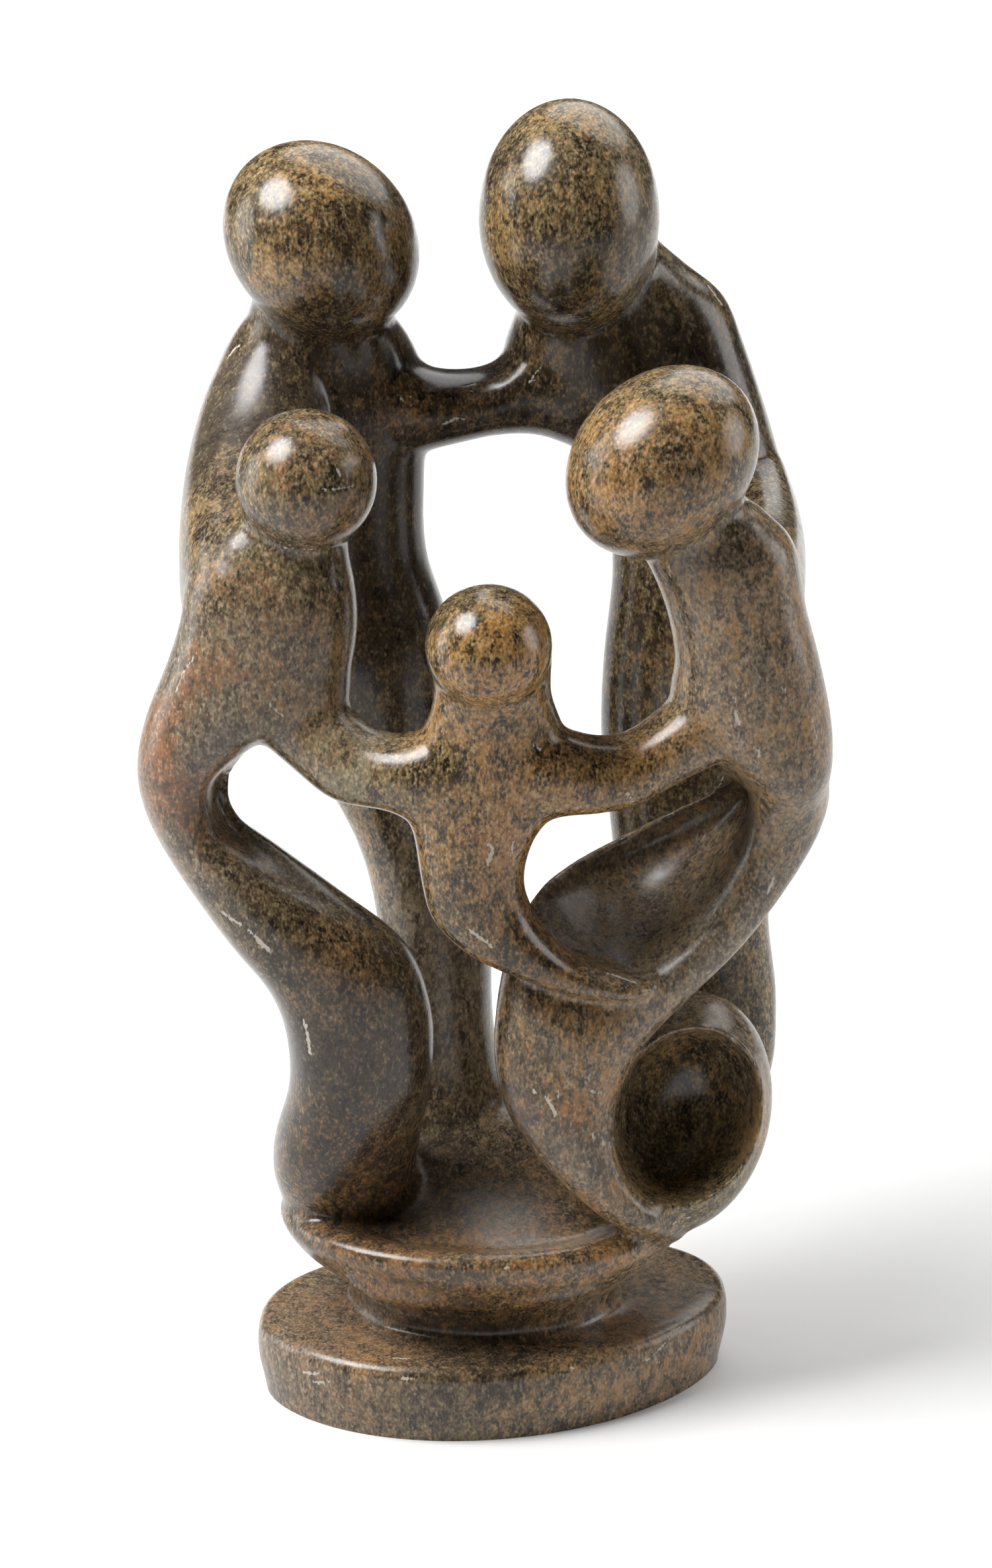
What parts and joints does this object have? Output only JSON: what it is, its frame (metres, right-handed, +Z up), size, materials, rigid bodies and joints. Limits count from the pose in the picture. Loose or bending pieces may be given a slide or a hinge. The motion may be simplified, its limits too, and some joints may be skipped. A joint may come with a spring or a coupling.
{
  "type": "stone figural group",
  "caption": "Carved stone sculpture of smooth, faceless standing figures with joined arms in a ring, on a dish, a short foot and an oval plinth.",
  "frame": {"origin": "on the flat underside of the plinth, below the middle of the ring of figures", "axes": "+Z up; -Y is the front, where the smallest figure stands; +X is the viewer's right"},
  "size_m": [0.2334, 0.1573, 0.4523],
  "materials": {
    "polished_serpentine": "waxed and polished, speckled dark olive brown with ochre and grey-green patches"
  },
  "bodies": {
    "root": {"stone_family_group": "polished_serpentine"}
  },
  "joints": []
}
